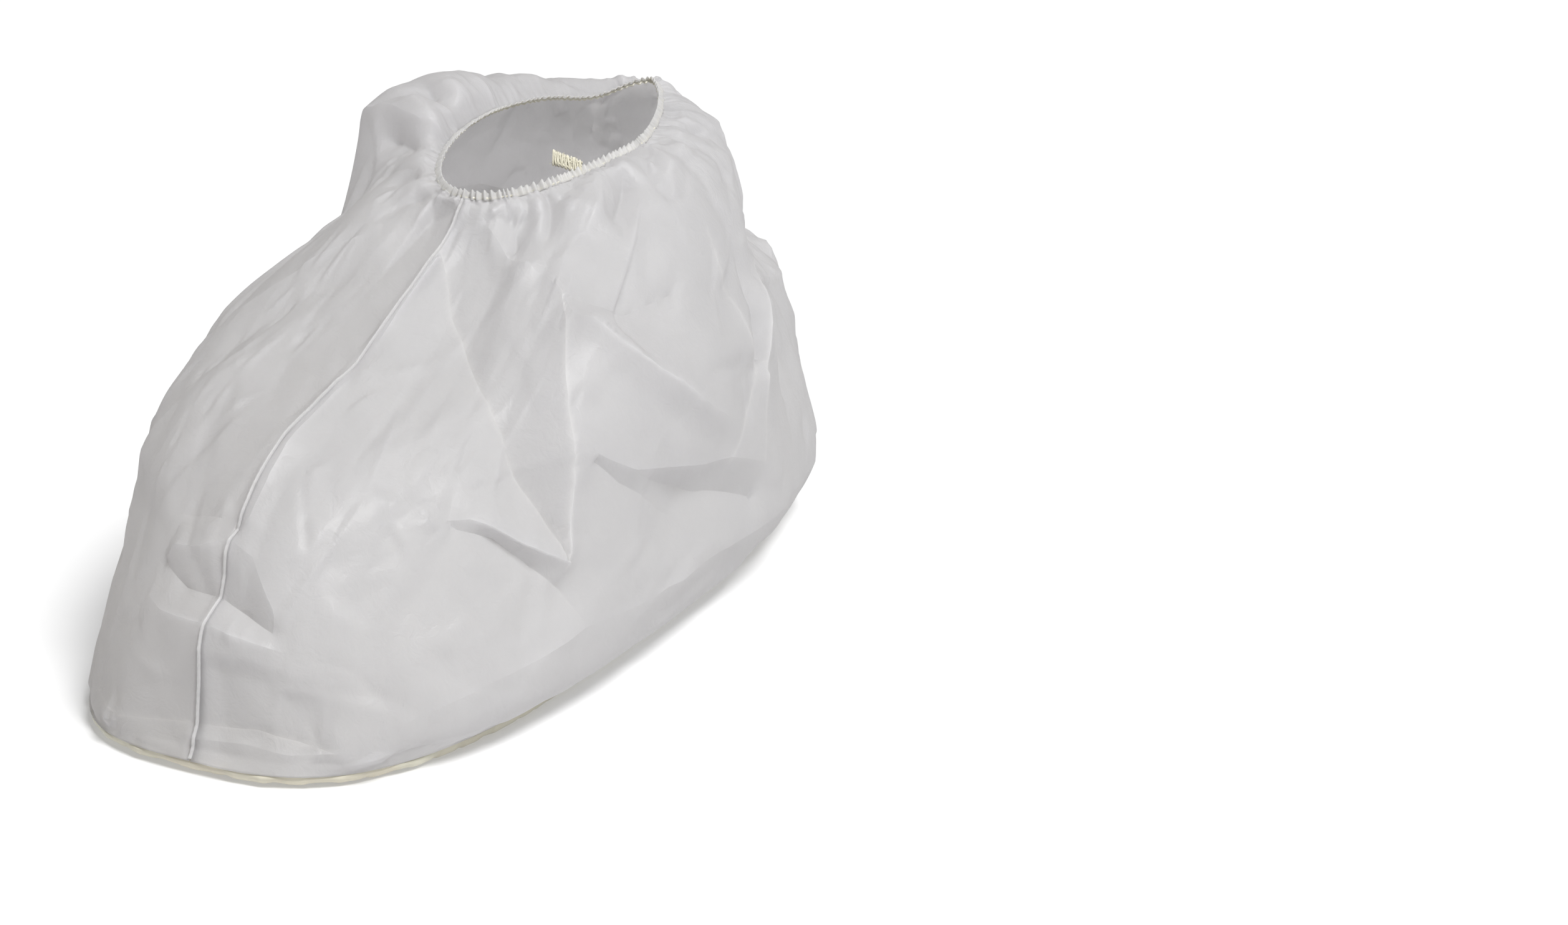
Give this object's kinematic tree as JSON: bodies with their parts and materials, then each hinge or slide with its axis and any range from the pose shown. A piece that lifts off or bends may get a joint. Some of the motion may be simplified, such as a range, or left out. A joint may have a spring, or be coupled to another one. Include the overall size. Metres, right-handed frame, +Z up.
{
  "type": "shoe cover",
  "caption": "Slip-on shoe cover of white film-faced cloth: two creased side panels on an embossed cream vinyl sole, with a gathered elastic mouth at the ankle.",
  "frame": {"origin": "on the surface it stands on, under the middle of the sole", "axes": "+Z up, toe towards -Y, heel towards +Y, the wearer's left side towards +X"},
  "size_m": [0.1954, 0.3801, 0.1741],
  "materials": {
    "cloth": "papery film face with a faint sheen",
    "vinyl": "soft vinyl with an embossed leather grain",
    "stitching": "overlocked edge over elastic",
    "thread": "fuzzy loose thread"
  },
  "bodies": {
    "root": {"sole": "vinyl", "left_panel": "cloth", "right_panel": "cloth", "toe_seam": "stitching", "heel_seam": "stitching", "ankle_elastic": "stitching", "thread_tail": "thread"}
  },
  "joints": []
}
